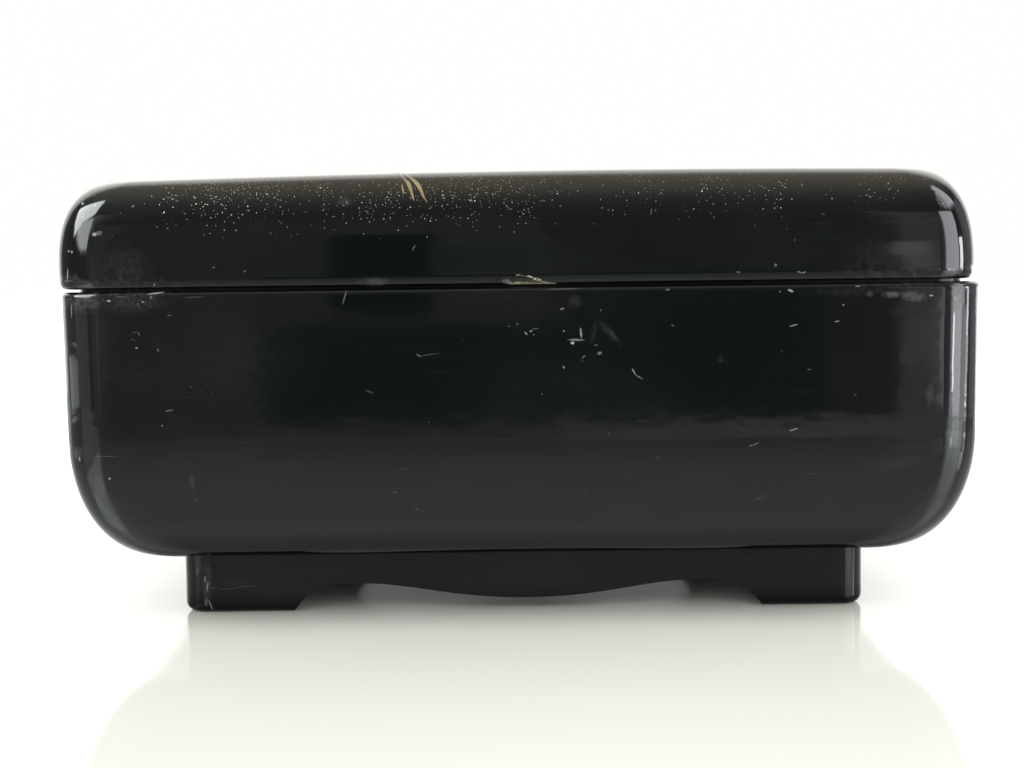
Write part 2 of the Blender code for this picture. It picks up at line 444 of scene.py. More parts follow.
# Scratches on the lid's front
LID_MARKS = (
    (-27.2, 99.8, 0.8, 0.15, -119, 0.25),
    (33.6, 108.3, 0.9, 0.2, -100, 0.13),
    (65.2, 94.3, 0.3, 0.28, 0, 0.7),
    (55.7, 92.6, 0.6, 0.15, -1, 0.25),
    (71.3, 92.4, 0.6, 0.15, -25, 0.45),
    (72.4, 92.3, 0.6, 0.14, 18, 0.45),
    (70.1, 100.6, 0.2, 0.15, 0, 0.25),
    (77.5, 107.1, 0.5, 0.15, 6, 0.13),
    (-115.9, 100.1, 0.3, 0.25, 0, 0.7),
    (-114.9, 99.9, 0.3, 0.3, 0, 0.7),
    (-112.7, 112.3, 0.4, 0.3, 0, 0.7),
    (-108.7, 104.3, 0.6, 0.4, 0, 0.7),
    (-107.6, 104.6, 1, 0.5, 10, 0.25),
    (-116.4, 94.2, 1.6, 0.16, 86, 0.7),
    (-78.4, 95.5, 0.3, 0.2, 0, 0.25),
    (-70.5, 94.4, 0.3, 0.2, -30, 0.25),
    (-93.8, 91.2, 0.5, 0.14, 70, 0.45),
)

# Soft smudges, in the same way as the scratches
BODY_SMUDGES = (
    (18.6, 77.8, 3.2, 0.6, 78, 0.035),
    (22.7, 77.5, 4, 0.8, -48, 0.065),
    (51.2, 70.5, 1, 0.8, 0, 0.06),
    (13.8, 85.6, 2, 1.4, 10, 0.045),
    (89.3, 86.5, 1.1, 0.6, 0, 0.11),
    (94.8, 86.4, 2.4, 0.75, 0, 0.19),
    (100.4, 85.8, 3.2, 1.1, -6, 0.17),
    (84, 87.2, 12, 0.9, 0, 0.02),
    (104.9, 60.6, 3, 0.9, 88, 0.055),
    (-85.7, 40.2, 2.6, 0.5, 90, 0.06),
    (-99, 87, 8, 2.6, 4, 0.045),
    (-112, 87.2, 5, 2.3, 0, 0.12),
    (-70, 70, 18, 10, 20, 0.008),
    (15, 60, 26, 12, -10, 0.006),
)
LID_SMUDGES = (
    (-37.6, 91.2, 4, 1, 0, 0.1),
    (-45, 112, 2, 1.1, -14, 0.08),
    (-3.7, 91, 1.1, 0.6, 0, 0.3),
    (-101, 96.5, 7, 4, 10, 0.03),
    (93, 95, 12, 5, 0, 0.016),
)

# Scuffs on the foot's front
FOOT_MARKS = (
    (-89.9, 11.9, 1.2, 0.15, 85, 0.25),
    (-87.7, 9.6, 0.9, 0.22, 88, 0.45),
    (-87.2, 7.4, 1.4, 0.18, 84, 0.45),
    (-86.7, 8.4, 0.6, 0.14, 60, 0.25),
    (-87.6, 3.1, 1.2, 0.3, 88, 0.25),
    (-86.4, 2.3, 1.6, 0.18, -70, 0.45),
    (-85.3, 7.1, 1, 0.1, 8, 0.13),
    (-81.5, 6.8, 2.6, 0.09, 2, 0.13),
    (-76.5, 7.4, 2.8, 0.09, 5, 0.13),
)
FOOT_SMUDGES = (
    (-87.2, 9, 7, 1.1, 88, 0.08),
    (-79, 8.6, 5, 1.2, 0, 0.02),
)

# Chips in the lid's lower edge: name, place across, height over the edge, size and seed
CHIP_SINK = 0.0008
CHIP_ROUGHNESS = 0.16
CHIPS = (
    ("edge_chip", 0.0004, 0.0001, (0.0036, 0.0007, 0.0006), 3),
    ("edge_chip_long", 0.0036, 0, (0.0058, 0.0006, 0.0004), 7),
)

# Bare edges of the chip
CHIP_MARKS = (
    (-0.6, 92.6, 0.6, 0.14, 8, 0.6),
    (1, 92.3, 0.9, 0.12, -10, 0.4),
    (2.4, 92.1, 0.8, 0.18, -18, 0.9),
    (4.3, 91.4, 1.2, 0.24, -16, 0.9),
    (7.1, 90.5, 2, 0.12, -10, 0.6),
    (-3, 90.7, 0.8, 0.35, 0, 0.3),
    (1, 90.4, 3.4, 0.2, 0, 0.6),
)
CHIP_STAINS = (
    (4.2, 91, 1.8, 0.6, -14, 0.6),
    (0.8, 91.1, 2.6, 0.7, -4, 0.12),
)

# Finishes
DEEP_BLACK = (0.0020, 0.0022, 0.0021, 1)
WORN_BLACK = (0.0048, 0.0051, 0.0049, 1)
GRAIN_BLUE = (0.0080, 0.0108, 0.0118, 1)
EDGE_GREY = (0.060, 0.062, 0.057, 1)
HOLLOW_DARK = (0.0030, 0.0028, 0.0026, 1)
HOLLOW_WORN = (0.0070, 0.0064, 0.0058, 1)
SCRATCH_AND_GLINT_GREY = (0.30, 0.31, 0.31, 1)
SCRATCH_AND_GLINT_CREAM = (0.33, 0.31, 0.25, 1)
DUST_GREY = (0.11, 0.11, 0.11, 1)
STAIN_BROWN = (0.10, 0.075, 0.045, 1)
BARE_GROUND = (0.22, 0.19, 0.13, 1)
BARE_PALE = (0.50, 0.46, 0.36, 1)
HAZE_GOLD = (0.026, 0.0205, 0.0110, 1)
FLAKE_GOLD = (0.62, 0.44, 0.20, 1)
# Painted glint: the pale white that the lower gold flakes take in place of gold
FLAKE_PAINTED_GLINT = (0.92, 0.92, 0.88, 1)
BLADE_GOLD = (0.25, 0.155, 0.042, 1)
BLADE_PALE = (0.31, 0.235, 0.125, 1)
BLADE_DARK = (0.08, 0.048, 0.016, 1)


def lacquer(name, roughness, ior, edge_z, front_y, marks=(), smudges=()):
    """Makes old black lacquer: uneven gloss and surface, grain, dust, worn edges, scratches and smudges. The
    body's marks hold one painted reflection, and the foot's worn edge is partly painted light.
    """
    material, tree, shader, point = new_material(name)
    shader.inputs["IOR"].default_value = ior
    places = node(tree, "SeparateXYZ", {0: point})
    height = places.outputs["Z"]
    across = maths(tree, "ABSOLUTE", places.outputs["X"])
    along = maths(tree, "ABSOLUTE", places.outputs["Y"])
    to_corner = maths(tree, "MINIMUM", across, along)

    cloudy = noise(tree, point, 26, 4, 0.55)
    brushed = noise(tree, stretched(tree, point, (60, 60, 260)), 1, 3)
    gloss = plus(tree, times(tree, cloudy, 0.07), times(tree, brushed, 0.03))
    gloss = plus(tree, gloss, roughness - 0.05)

    worn = ramp_up(tree, noise(tree, point, 18, 5, 0.6), 0.48, 0.75)
    colour = mix_colour(tree, worn, DEEP_BLACK, WORN_BLACK)
    grain = ramp_up(tree, noise(tree, stretched(tree, point, (80, 80, 1300)), 1, 3, 0.6), 0.55, 0.75)
    patch = ramp_up(tree, noise(tree, stretched(tree, point, (14, 14, 46)), 1, 2), 0.40, 0.62)
    grain = times(tree, times(tree, grain, patch), 0.6)
    colour = mix_colour(tree, grain, colour, GRAIN_BLUE)

    dust = node(tree, "TexVoronoi", {"Vector": point, "Scale": 190.0}, feature="F1")
    dust_near = ramp_up(tree, dust.outputs["Distance"], 0.034, 0.016)
    picked = node(tree, "SeparateColor", {0: dust.outputs["Color"]}).outputs[0]
    dust_share = times(tree, dust_near, maths(tree, "LESS_THAN", picked, 0.35))
    colour = mix_colour(tree, times(tree, dust_share, 0.8), colour, DUST_GREY)

    # Paler lacquer near the worn edge, by the corners. On the foot that edge is the bottom one, where the
    # paleness is partly wear and partly painted light, lighter low down than in the shade under the belly
    from_edge = maths(tree, "ABSOLUTE", maths(tree, "SUBTRACT", height, edge_z))
    edge_wear_and_painted_light = ramp_up(tree, from_edge, 0.0055, 0.0010)
    for share in (
        ramp_up(tree, to_corner, 0.070, 0.108),
        ramp_up(tree, noise(tree, point, 700, 4, 0.65), 0.46, 0.66),
    ):
        edge_wear_and_painted_light = times(tree, edge_wear_and_painted_light, share)
    colour = mix_colour(tree, times(tree, edge_wear_and_painted_light, 0.25), colour, EDGE_GREY)

    # Old lacquer is a little wavy, and more so round the corners
    by_corner = ramp_up(tree, to_corner, 0.107, 0.113)
    uneven = None
    for wave, flat_depth, corner_depth in (
        (noise(tree, point, 22, 1), 1.0, 2.2),
        (noise(tree, stretched(tree, point, (60, 60, 110)), 1, 2), 0.35, 0.77),
        (noise(tree, point, 240, 2), 0.03, 0.26),
    ):
        depth = mix_value(tree, by_corner, flat_depth, corner_depth)
        wave = times(tree, maths(tree, "SUBTRACT", wave, 0.5), depth)
        uneven = wave if uneven is None else plus(tree, uneven, wave)

    if smudges:
        shown = strokes(tree, point, front_y, smudges, 0.0, 0.75)
        mottled = ramp_up(tree, noise(tree, point, 700, 4, 0.6), 0.25, 0.62)
        shown = times(tree, shown, mottled)
        colour = mix_colour(tree, shown, colour, SCRATCH_AND_GLINT_GREY)
        gloss = mix_value(tree, shown, gloss, 0.5)
    # Scratches, and on the body one painted reflection, laid on in grey and cream
    if marks:
        shown = strokes(tree, point, front_y, marks, 0.10, 0.45)
        broken = ramp_up(tree, noise(tree, point, 2600, 2), 0.28, 0.46)
        shown = times(tree, shown, broken)
        tint = ramp_up(tree, noise(tree, point, 90, 1), 0.45, 0.62)
        colour = mix_colour(tree, shown, colour, mix_colour(tree, tint, SCRATCH_AND_GLINT_GREY, SCRATCH_AND_GLINT_CREAM))
        gloss = mix_value(tree, shown, gloss, 0.5)

    bump = node(tree, "Bump", {"Height": uneven, "Distance": 0.00016, "Strength": 1.0})
    feed(tree, shader, colour, gloss, bump)
    return material


# How crowded the gold is across the lid: place from left to right and crowding
GOLD_ACROSS = (
    (0.09, 0.50), (0.17, 1.2), (0.45, 1.1), (0.62, 0.60), (0.80, 0.35), (0.90, 0.22), (0.93, 0.06),
)

# Two sizes of flake: scale, least size, how much more at most, and share kept
FLAKES = ((1350.0, 0.090, 0.070, 0.9), (1900.0, 0.100, 0.060, 0.6))


def linked(shader, socket):
    """Gives what feeds a socket, so that more can be laid over it."""
    return shader.inputs[socket].links[0].from_socket


def add_gold(material):
    """Lays gold flakes and a haze of gold dust over the lacquer, crowded at the top of the lid; lower down
    the flakes are painted pale white as a painted glint.
    """
    tree = material.node_tree
    shader = tree.nodes["Principled BSDF"]
    point = node(tree, "TexCoord").outputs["Object"]
    places = node(tree, "SeparateXYZ", {0: point})
    height = places.outputs["Z"]
    cloud = noise(tree, point, 34, 4, 0.65)

    crowd = maths(tree, "POWER", ramp_up(tree, height, 0.098, 0.118), 2.0)
    across = node(tree, "MapRange", {0: places.outputs["X"], 1: -0.12, 2: 0.12}).outputs[0]
    side = node(tree, "ValToRGB", {0: across})
    ramp = side.color_ramp
    for place, level in GOLD_ACROSS:
        ramp.elements.new(place).color = (level, level, level, 1)
    ramp.elements[0].color = (0.25, 0.25, 0.25, 1)
    ramp.elements[-1].color = (0.05, 0.05, 0.05, 1)
    patchy = plus(tree, times(tree, ramp_up(tree, cloud, 0.38, 0.62), 1.45), 0.15)
    density = times(tree, times(tree, crowd, side.outputs[0]), patchy)

    flake = None
    pale = None
    for scale, smallest, more, kept in FLAKES:
        cells = node(tree, "TexVoronoi", {"Vector": point, "Scale": scale}, feature="F1")
        random = node(tree, "SeparateColor", {0: cells.outputs["Color"]})
        size = plus(tree, times(tree, random.outputs[2], more), smallest)
        near = maths(tree, "LESS_THAN", cells.outputs["Distance"], size)
        chosen = maths(tree, "LESS_THAN", random.outputs[0], times(tree, density, kept))
        on_flake = times(tree, near, chosen)
        flake = on_flake if flake is None else maths(tree, "MAXIMUM", flake, on_flake)
        pale = random.outputs[1] if pale is None else pale
    # Painted glint: lower down, the flakes turn pale white in place of gold, standing in for their glints
    pale = maths(tree, "MAXIMUM", pale, 0.6)
    pale = times(tree, pale, ramp_up(tree, height, 0.1185, 0.1110))

    haze = times(tree, ramp_up(tree, height, 0.1115, 0.1180), 0.85)
    haze = times(tree, haze, plus(tree, times(tree, cloud, 0.6), 0.7))
    colour = mix_colour(tree, haze, linked(shader, "Base Color"), HAZE_GOLD)
    colour = mix_colour(tree, flake, colour, mix_colour(tree, pale, FLAKE_GOLD, FLAKE_PAINTED_GLINT))
    gloss = mix_value(tree, haze, linked(shader, "Roughness"), 0.22)
    feed(tree, shader, colour, mix_value(tree, flake, gloss, 0.42))
    tree.links.new(times(tree, flake, 0.5), shader.inputs["Metallic"])


def add_chip_edges(material):
    """Lays the pale broken edges and the brown stain of the chip over the lid's lacquer."""
    tree = material.node_tree
    shader = tree.nodes["Principled BSDF"]
    point = node(tree, "TexCoord").outputs["Object"]
    crumbs = ramp_up(tree, noise(tree, point, 2900, 3, 0.7), 0.42, 0.54)
    stain = times(tree, strokes(tree, point, -lid_half, CHIP_STAINS, 0.05, 0.5), crumbs)
    edges = times(tree, strokes(tree, point, -lid_half, CHIP_MARKS, 0.10, 0.45), crumbs)
    colour = mix_colour(tree, stain, linked(shader, "Base Color"), STAIN_BROWN)
    colour = mix_colour(tree, edges, colour, BARE_PALE)
    gloss = mix_value(tree, maths(tree, "MAXIMUM", stain, edges), linked(shader, "Roughness"), 0.7)
    feed(tree, shader, colour, gloss)


def inner_lacquer(name):
    """Makes the plainer lacquer inside the box and the lid, and on the lip."""
    material, tree, shader, point = new_material(name)
    shader.inputs["IOR"].default_value = 1.5
    shader.inputs["Specular IOR Level"].default_value = 0.3
    cloud = noise(tree, point, 30, 4, 0.6)
    colour = mix_colour(tree, cloud, HOLLOW_DARK, HOLLOW_WORN)
    brushed = noise(tree, stretched(tree, point, (420, 30, 30)), 1, 3)
    bump = node(tree, "Bump", {"Height": brushed, "Distance": 0.00005, "Strength": 0.3})
    gloss = plus(tree, times(tree, cloud, 0.18), 0.16)
    feed(tree, shader, colour, gloss, bump)
    return material


def bare_ground(name):
    """Makes the dry ground that a chip lays bare."""
    material, tree, shader, point = new_material(name)
    shader.inputs["Specular IOR Level"].default_value = 0.3
    crumb = noise(tree, point, 2400, 4, 0.65)
    patch = noise(tree, stretched(tree, point, (500, 500, 1500)), 1, 3)
    colour = mix_colour(tree, ramp_up(tree, patch, 0.40, 0.62), BARE_GROUND, BARE_PALE)
    bump = node(tree, "Bump", {"Height": crumb, "Distance": 0.0001, "Strength": 0.9})
    feed(tree, shader, colour, plus(tree, times(tree, crumb, 0.3), 0.55), bump)
    return material


def gold_powder(name):
    """Makes the sprinkled gold of the grass blades."""
    material, tree, shader, point = new_material(name)
    powder = noise(tree, point, 5200, 2, 0.7)
    drift = noise(tree, point, 380, 3)
    colour = mix_colour(tree, ramp_up(tree, drift, 0.40, 0.64), BLADE_GOLD, BLADE_PALE)
    colour = mix_colour(tree, ramp_up(tree, powder, 0.52, 0.66), colour, BLADE_DARK)
    bump = node(tree, "Bump", {"Height": powder, "Distance": 0.00003, "Strength": 0.5})
    shader.inputs["Metallic"].default_value = 0.4
    shader.inputs["Coat Weight"].default_value = 1.0
    shader.inputs["Coat Roughness"].default_value = 0.1
    feed(tree, shader, colour, plus(tree, times(tree, powder, 0.25), 0.35), bump)
    return material


# Pieces

def give_materials(piece, outside, inside, is_inside):
    """Gives the piece its outer finish, and the faces that pass the test its inner one."""
    start_fresh()
    piece.data.materials.append(outside)
    piece.data.materials.append(inside)
    bpy.context.view_layer.objects.active = piece
    bpy.ops.object.mode_set(mode="EDIT")
    pick(piece, "faces", is_inside)
    piece.active_material_index = 1
    bpy.ops.object.material_slot_assign()
    bpy.ops.object.mode_set(mode="OBJECT")


def make_body(outside, inside):
    """Body: straight wall, rounded belly, rounded rim, raised lip and the hollow with its floor."""
    wall_top_z = rim_z - RIM_EDGE
    body = add_block("lacquered_box", body_half, belly_top_z, wall_top_z)
    round_corners(body, BODY_CORNER)

    pick(body, "faces", faces_down)
    share = (body_half - BODY_TAPER) / body_half
    bpy.ops.transform.resize(value=(share, share, 1), center_override=(0, 0, belly_top_z))
    belly = quarter_curve(
        BODY_TAPER, belly_top_z, BELLY_INSET, body_low.z, BELLY_STEPS, False, BELLY_POWER
    )
    follow(body_half, (BODY_TAPER, belly_top_z), belly)

    pick(body, "faces", faces_up)
    follow(body_half, (0, wall_top_z), quarter_curve(0, wall_top_z, RIM_EDGE, rim_z, EDGE_STEPS, False))
    lip_inset = BODY_WALL - LIP_THICKNESS
    bpy.ops.mesh.inset(thickness=lip_inset - RIM_EDGE, depth=0)
    raise_cap(LIP_HEIGHT - LIP_EDGE)
    edge_z = body_high.z - LIP_EDGE
    outer_edge = quarter_curve(lip_inset, edge_z, lip_inset + LIP_EDGE, body_high.z, 3, False)
    follow(body_half, (lip_inset, edge_z), outer_edge)
    bpy.ops.mesh.inset(thickness=LIP_THICKNESS - 2 * LIP_EDGE, depth=0)
    inner_edge = quarter_curve(BODY_WALL - LIP_EDGE, body_high.z, BODY_WALL, edge_z, 3, True)
    follow(body_half, (BODY_WALL - LIP_EDGE, body_high.z), inner_edge)
    raise_cap(belly_top_z - edge_z)
    floor_z = body_low.z + BODY_FLOOR
    cove = quarter_curve(BODY_WALL, belly_top_z, BELLY_INSET, floor_z, BELLY_STEPS // 2, False)
    follow(body_half, (BODY_WALL, belly_top_z), cove)

    divide_flats(FLAT_END)
    bpy.ops.object.mode_set(mode="OBJECT")
    inner_half = body_half - BODY_WALL + NEAR

    def is_inside(face):
        middle = face.calc_center_median()
        in_plan = max(abs(middle.x), abs(middle.y)) < inner_half
        over_floor = middle.z > body_low.z + BODY_FLOOR - NEAR
        on_lip = middle.z > rim_z + 0.0001
        outward = middle.x * face.normal.x + middle.y * face.normal.y
        return on_lip or in_plan and over_floor and (outward < 0 or abs(face.normal.z) > 0.9)

    give_materials(body, outside, inside, is_inside)
    shade(body)
    return body


def bow_lid(lid):
    """Bows the lid's top, lifts its right end and slackens that shoulder. The wall stays straight."""
    start_fresh()
    bpy.ops.object.add(type="LATTICE", location=(0, 0, (shoulder_z + lid_top_z) / 2))
    cage = bpy.context.object
    cage_width = (CAGE_POINTS - 1) * CAGE_CELL
    cage.scale = (cage_width, cage_width, SHOULDER_DROP)
    cage.data.points_u = CAGE_POINTS
    cage.data.points_v = CAGE_POINTS
    cage.data.points_w = 2
    cage.data.interpolation_type_u = "KEY_CATMULL_ROM"
    cage.data.interpolation_type_v = "KEY_CATMULL_ROM"
    cage.data.interpolation_type_w = "KEY_LINEAR"
    for point in cage.data.points:
        if point.co.z > 0:
            across = point.co.x * cage.scale.x / lid_half
            along = point.co.y * cage.scale.y / lid_half
            rise = LID_LEAN / 2 * across - CROWN_ACROSS * across ** 2 - CROWN_ALONG * along ** 2
            point.co_deform.z += rise / SHOULDER_DROP
            point.co_deform.x -= SHOULDER_SLACK * max(0, across) ** 3 / cage.scale.x
    bpy.context.view_layer.update()
    apply_modifier(lid, "LATTICE", object=cage)
    bpy.data.objects.remove(cage, do_unlink=True)


def make_lid(outside, inside):
    """Lid: rounded lower edge, short straight wall, wide shoulder, bowed top, rebate and hollow."""
    wall_low_z = lid_edge_z + LID_EDGE_DROP
    lid = add_block("lacquered_lid", lid_half, wall_low_z, shoulder_z)
    round_corners(lid, BODY_CORNER)

    pick(lid, "faces", faces_up)
    shoulder = quarter_curve(
        0, shoulder_z, SHOULDER_INSET, lid_top_z, SHOULDER_STEPS, False, SHOULDER_POWER
    )
    follow(lid_half, (0, shoulder_z), shoulder)
    bpy.ops.mesh.inset(thickness=CROWN_RING, depth=0)

    pick(lid, "faces", faces_down)
    edge = quarter_curve(0, wall_low_z, LID_EDGE_INSET, lid_edge_z, EDGE_STEPS, False)
    follow(lid_half, (0, wall_low_z), edge)
    bpy.ops.mesh.inset(thickness=REBATE_INSET - LID_EDGE_INSET, depth=0)
    raise_cap(seat_z - lid_edge_z)
    bpy.ops.mesh.inset(thickness=LID_WALL - REBATE_INSET, depth=0)
    cove_z = shoulder_z + 0.0003
    raise_cap(cove_z - seat_z)
    ceiling_z = lid_top_z - LID_CEILING
    cove = quarter_curve(LID_WALL, cove_z, SHOULDER_INSET, ceiling_z, SHOULDER_STEPS // 2, False)
    follow(lid_half, (LID_WALL, cove_z), cove)

    divide_flats(FLAT_END)
    bpy.ops.object.mode_set(mode="OBJECT")
    inner_half = lid_half - LID_WALL + NEAR

    def is_inside(face):
        middle = face.calc_center_median()
        in_plan = max(abs(middle.x), abs(middle.y)) < inner_half
        outward = middle.x * face.normal.x + middle.y * face.normal.y
        return in_plan and middle.z < ceiling_z + 0.0005 and (outward < 0 or face.normal.z < -0.9)

    give_materials(lid, outside, inside, is_inside)
    bow_lid(lid)
    start_fresh()
    lid.select_set(True)
    bpy.context.view_layer.objects.active = lid
    bpy.ops.transform.translate(value=(lid_slide, 0, 0))
    bpy.ops.object.transform_apply()
    return lid


def arch_bar(name, half_span, reach, offset, turned):
    """Makes the bar that cuts a pair of facing arches, from a drawn curve."""
    start_fresh()
    bpy.ops.curve.primitive_bezier_curve_add(location=(0, 0, 0))
    bar = bpy.context.object
    bar.name = name
    curve = bar.data
    curve.dimensions = "2D"
    curve.fill_mode = "BOTH"
    curve.resolution_u = ARCH_STEPS
    curve.extrude = reach
    spline = curve.splines[0]
    peak = half_span - ARCH_SHOULDER
    below = ARCH_BELOW
    leg_run, leg_rise = ARCH_LEG_CURVE
    inward, outward, middle = ARCH_PEAK_INWARD, ARCH_PEAK_OUTWARD, ARCH_MIDDLE_REACH
    drawn = (
        ((half_span, 0), (half_span - leg_run, leg_rise), (half_span, below / 2)),
        ((peak, ARCH_PEAK), (peak - inward, ARCH_PEAK), (peak + outward, ARCH_PEAK)),
        ((0, ARCH_MIDDLE), (-middle, ARCH_MIDDLE), (middle, ARCH_MIDDLE)),
        ((-peak, ARCH_PEAK), (-peak - outward, ARCH_PEAK), (-peak + inward, ARCH_PEAK)),
        ((-half_span, 0), (-half_span, below / 2), (-half_span + leg_run, leg_rise)),
        ((-half_span, below), (-half_span + MM, below), (-half_span, below / 2)),
        ((half_span, below), (half_span, below / 2), (half_span - MM, below)),
    )
    spline.bezier_points.add(len(drawn) - len(spline.bezier_points))
    for point, (place, left, right) in zip(spline.bezier_points, drawn):
        point.handle_left_type = "FREE"
        point.handle_right_type = "FREE"
        point.co = (*place, 0)
        # The outline is drawn from the right leg to the left one, so each right handle leads on
        point.handle_left = (*right, 0)
        point.handle_right = (*left, 0)
    spline.use_cyclic_u = True
    bpy.ops.object.convert(target="MESH")
    bar.rotation_euler = (math.pi / 2, 0, math.pi / 2 if turned else 0)
    bar.location = (offset, 0, 0)
    bpy.ops.object.transform_apply()
    bpy.ops.object.mode_set(mode="EDIT")
    bpy.ops.mesh.select_all(action="SELECT")
    bpy.ops.mesh.remove_doubles(threshold=0.000001)
    bpy.ops.mesh.normals_make_consistent(inside=False)
    bpy.ops.object.mode_set(mode="OBJECT")
    return bar


def make_foot(finish):
    """Foot: an open square of boards with rounded lower edges and a scalloped apron on each side."""
    foot = add_block("foot", foot_half, foot_low.z, foot_high.z)
    round_corners(foot, FOOT_CORNER, FOOT_CORNER_STEPS)
    pick(foot, "edges", lambda edge: max(v.co.z for v in edge.verts) < foot_low.z + 0.0001)
    bpy.ops.mesh.bevel(offset=FOOT_EDGE, segments=7, profile=0.5, affect="EDGES")
    divide_flats(FOOT_FLAT_END)
    bpy.ops.object.mode_set(mode="OBJECT")

    well = add_block("well", foot_half - FOOT_BOARD, foot_low.z - CUT_MARGIN, foot_high.z + CUT_MARGIN)
    round_corners(well, FOOT_INNER_CORNER, 6)
    bpy.ops.object.mode_set(mode="OBJECT")
    span = foot_half - LEG_WIDTH
    front_arches = arch_bar("front_arches", span, foot_half + CUT_MARGIN, ARCH_OFFSET, False)
    side_arches = arch_bar("side_arches", span, foot_half + CUT_MARGIN, 0, True)
    foot.data.materials.append(finish)
    for cutter in (well, front_arches, side_arches):
        cutter.data.materials.append(finish)
        cut_away(foot, cutter)
    apply_modifier(
        foot, "BEVEL", width=ARCH_EDGE, segments=2, limit_method="ANGLE", angle_limit=math.radians(50)
    )
    shade(foot, 30)
    return foot


def chip(piece, name, place, size, seed, ground):
    """Breaks a shallow chip out of a piece with a rough pebble that carries the bare ground."""
    start_fresh()
    bpy.ops.mesh.primitive_ico_sphere_add(subdivisions=4, radius=1, location=place, scale=size)
    pebble = bpy.context.object
    pebble.name = name
    bpy.ops.object.transform_apply()
    bpy.ops.object.mode_set(mode="EDIT")
    bpy.ops.mesh.select_all(action="SELECT")
    bpy.ops.transform.vertex_random(offset=min(size) * CHIP_ROUGHNESS, uniform=0.0, normal=0.8, seed=seed)
    bpy.ops.object.mode_set(mode="OBJECT")
    pebble.data.materials.append(ground)
    cut_away(piece, pebble)


# Grass blades in plan: each node along a blade gives its place and its half width in millimetres
BLADE_LIFT = 0.00002
BLADE_FILM = 0.00004
BLADE_STEPS = 12
BLADES = (
    ((-30.2, -113.8, 0.06), (-30.1, -114.8, 0.2), (-29.9, -115.6, 0.15), (-29.6, -116.3, 0.03)),
    (
        (-36.5, -100, 0.1), (-33.5, -104.5, 0.12), (-31.4, -108, 0.1),
        (-30.1, -111.8, 0.14), (-28.6, -114, 0.46), (-27.9, -115.4, 0.36),
        (-27.3, -116.6, 0.2), (-27, -117.1, 0.04),
    ),
    (
        (-34.5, -90, 0.12), (-31.8, -100, 0.14), (-30, -108, 0.12),
        (-28.4, -111.5, 0.2), (-26.5, -113.8, 0.48), (-25.5, -115.2, 0.42),
        (-24.6, -116.5, 0.2), (-23.5, -117.4, 0.04),
    ),
    ((-57, -28, 0.3), (-48, -48, 1.1), (-40, -73, 1.2), (-37, -96, 0.1)),
    ((-58, -29, 0.3), (-54, -54, 1), (-53, -80, 1.05), (-57, -101, 0.1)),
    ((-56, -26, 0.3), (-39, -38, 1.1), (-20, -58, 1.1), (-8, -83, 0.1)),
    ((-59, -27, 0.3), (-67, -44, 0.95), (-79, -61, 1), (-95, -73, 0.1)),
    ((-56, -24, 0.3), (-34, -27, 1), (-9, -36, 1.05), (13, -52, 0.1)),
    ((-57.5, -23, 0.25), (-48, -2, 0.8), (-36, 15, 0.85), (-18, 30, 0.1)),
    ((-59, -23, 0.25), (-64, -1, 0.8), (-75, 19, 0.8), (-90, 34, 0.1)),
)


def make_blades(lid, finish):
    """Blades: a spray of slim grass leaves drawn flat, laid onto the lid and given a film's thickness."""
    start_fresh()
    bpy.ops.curve.primitive_bezier_curve_add(location=(0, 0, 0))
    blades = bpy.context.object
    blades.name = "gold_blades"
    curve = blades.data
    curve.dimensions = "2D"
    curve.fill_mode = "BOTH"
    curve.resolution_u = BLADE_STEPS
    curve.splines.clear()
    for blade in BLADES:
        places = [Vector((MM * across, MM * along, 0)) for across, along, _ in blade]
        left, right = [], []
        for before, place, after, (_, _, half_width) in zip(places, places[1:], places[2:], blade[1:]):
            run = (after - before).normalized()
            aside = Vector((-run.y, run.x, 0)) * (MM * half_width)
            left.append(place + aside)
            right.append(place - aside)
        outline = [places[0], *left, places[-1], *reversed(right)]
        spline = curve.splines.new("BEZIER")
        spline.bezier_points.add(len(outline) - 1)
        spline.use_cyclic_u = True
        for point, place in zip(spline.bezier_points, outline):
            point.co = place
            ends = place in (places[0], places[-1])
            point.handle_left_type = "VECTOR" if ends else "AUTO"
            point.handle_right_type = "VECTOR" if ends else "AUTO"
    bpy.ops.object.convert(target="MESH")
    blades.location.z = lid_high.z + 0.01
    bpy.ops.object.transform_apply()
    bpy.ops.object.mode_set(mode="EDIT")
    bpy.ops.mesh.select_all(action="SELECT")
    bpy.ops.mesh.remove_doubles(threshold=0.000002)
    bpy.ops.object.mode_set(mode="OBJECT")
    apply_modifier(
        blades, "SHRINKWRAP", target=lid, wrap_method="PROJECT", use_project_z=True,
        use_negative_direction=True, use_positive_direction=False, offset=BLADE_LIFT,
    )
    apply_modifier(blades, "SOLIDIFY", thickness=BLADE_FILM, offset=1)
    blades.data.materials.append(finish)
    bpy.ops.object.shade_smooth_by_angle(angle=math.radians(SMOOTH_ANGLE))
    return blades


# Stage, light and camera

CAMERA_PLACE = (-0.00255, -0.545, 0.1014)
CAMERA_LENS = 58.38
CAMERA_PITCH = 4.94
CAMERA_ROLL = -0.0128
CARD_Y = -0.480
CARD_STEP = 0.0006
CORNER_PLACE = 0.112
CORNER_HEIGHT = 0.08
CARD_FOOT = 0.0008

